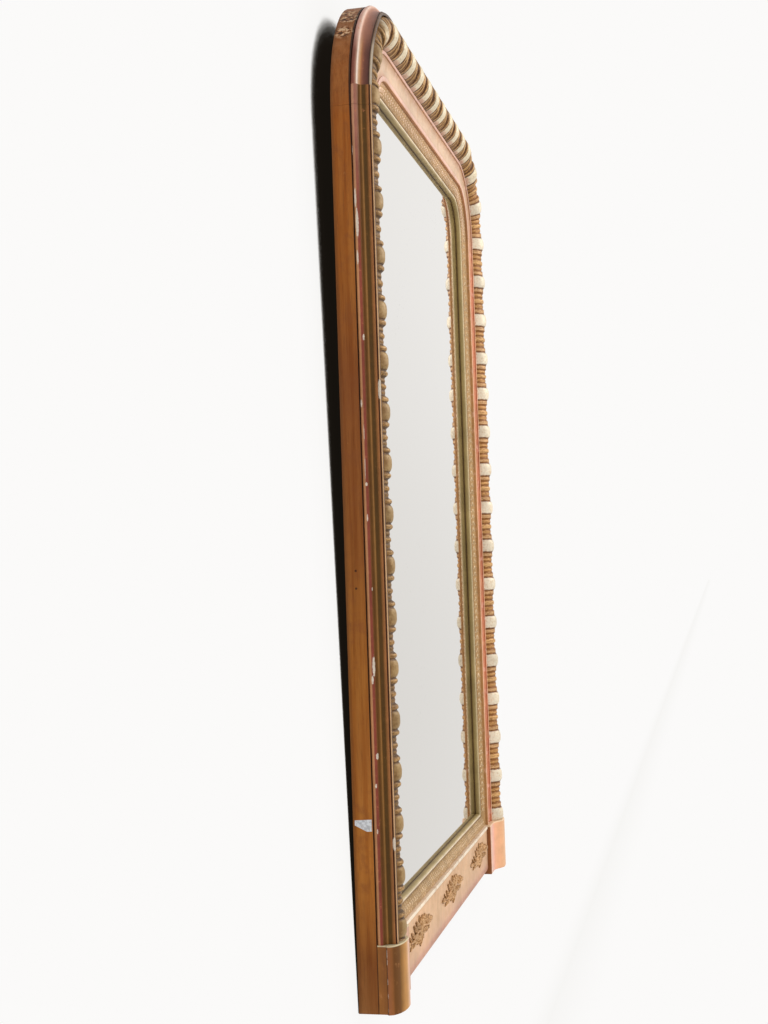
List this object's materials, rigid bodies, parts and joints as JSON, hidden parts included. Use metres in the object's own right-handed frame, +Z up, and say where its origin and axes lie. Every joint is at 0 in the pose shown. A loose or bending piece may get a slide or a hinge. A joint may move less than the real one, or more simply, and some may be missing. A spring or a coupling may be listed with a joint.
{
  "type": "pier mirror",
  "caption": "Tall wall mirror in a gilt wood frame: rounded upper corners, cross-reeded torus moulding, plinth blocks and a flat frieze with leaf sprays at the foot; hung by two rings.",
  "frame": {"origin": "middle of the back, in the plane of the wall", "axes": "+Z up, +X to the viewer's right seen from the front, +Y into the wall"},
  "size_m": [1.002, 0.0605, 1.4013],
  "materials": {
    "carcass_pine": "ochre-stained pine, aged",
    "edge_gilding": "worn gilding over ochre bole on gesso",
    "torus_gilding": "bronze-gold gilding, chalky on the barrels",
    "hollow_gilding": "worn cream and peach gilding",
    "sight_gilding": "matt gilding on cast ornament",
    "foot_gilding": "worn gilding, pink ochre",
    "spray_gilding": "dark gilding on cast ornament",
    "silvered_glass": "silvered sheet glass",
    "bare_pine": "planed, unfinished, aged",
    "hanger_steel": "dull, lightly rusted"
  },
  "bodies": {
    "mirror_frame": {"stile_left": "carcass_pine", "stile_right": "carcass_pine", "corner_block_left": "carcass_pine", "corner_block_right": "carcass_pine", "rail_top": "carcass_pine", "rail_bottom": "carcass_pine", "edge_moulding_left": "edge_gilding", "edge_moulding_corner_left": "edge_gilding", "edge_moulding_top": "edge_gilding", "edge_moulding_corner_right": "edge_gilding", "edge_moulding_right": "edge_gilding", "torus_left": "torus_gilding", "torus_corner_left": "torus_gilding", "torus_top": "torus_gilding", "torus_corner_right": "torus_gilding", "torus_right": "torus_gilding", "hollow_moulding_left": "hollow_gilding", "hollow_moulding_corner_left": "hollow_gilding", "hollow_moulding_top": "hollow_gilding", "hollow_moulding_corner_right": "hollow_gilding", "hollow_moulding_right": "hollow_gilding", "sight_moulding_left": "sight_gilding", "sight_moulding_corner_left": "sight_gilding", "sight_moulding_top": "sight_gilding", "sight_moulding_corner_right": "sight_gilding", "sight_moulding_right": "sight_gilding", "sight_moulding_bottom": "sight_gilding", "plinth_left": "foot_gilding", "plinth_right": "foot_gilding", "frieze_board": "foot_gilding", "frieze_spray_left": "spray_gilding", "frieze_spray_middle": "spray_gilding", "frieze_spray_right": "spray_gilding", "mirror_glass": "silvered_glass", "glass_wedge_left_low": "bare_pine", "glass_wedge_left_high": "bare_pine", "glass_wedge_right_low": "bare_pine", "glass_wedge_right_high": "bare_pine", "glass_wedge_top_left": "bare_pine", "glass_wedge_top_right": "bare_pine", "glass_wedge_bottom_left": "bare_pine", "glass_wedge_bottom_right": "bare_pine", "backboard_1": "bare_pine", "backboard_2": "bare_pine", "backboard_3": "bare_pine", "backboard_4": "bare_pine", "backboard_5": "bare_pine", "hanger_strap_left": "hanger_steel", "hanger_screw_left_1": "hanger_steel", "hanger_screw_left_2": "hanger_steel", "hanger_strap_right": "hanger_steel", "hanger_screw_right_1": "hanger_steel", "hanger_screw_right_2": "hanger_steel"},
    "ring_left": {"hanger_ring_left": "hanger_steel"},
    "ring_right": {"hanger_ring_right": "hanger_steel"}
  },
  "joints": [
    {"name": "ring_left_swing", "type": "hinge", "parent": "mirror_frame", "child": "ring_left", "pos_m": [-0.4475, -0.0041, 0.37], "axis": [1, 0, 0], "range_deg": [0, 180]},
    {"name": "ring_right_swing", "type": "hinge", "parent": "mirror_frame", "child": "ring_right", "pos_m": [0.4475, -0.0041, 0.37], "axis": [1, 0, 0], "range_deg": [0, 180]}
  ]
}
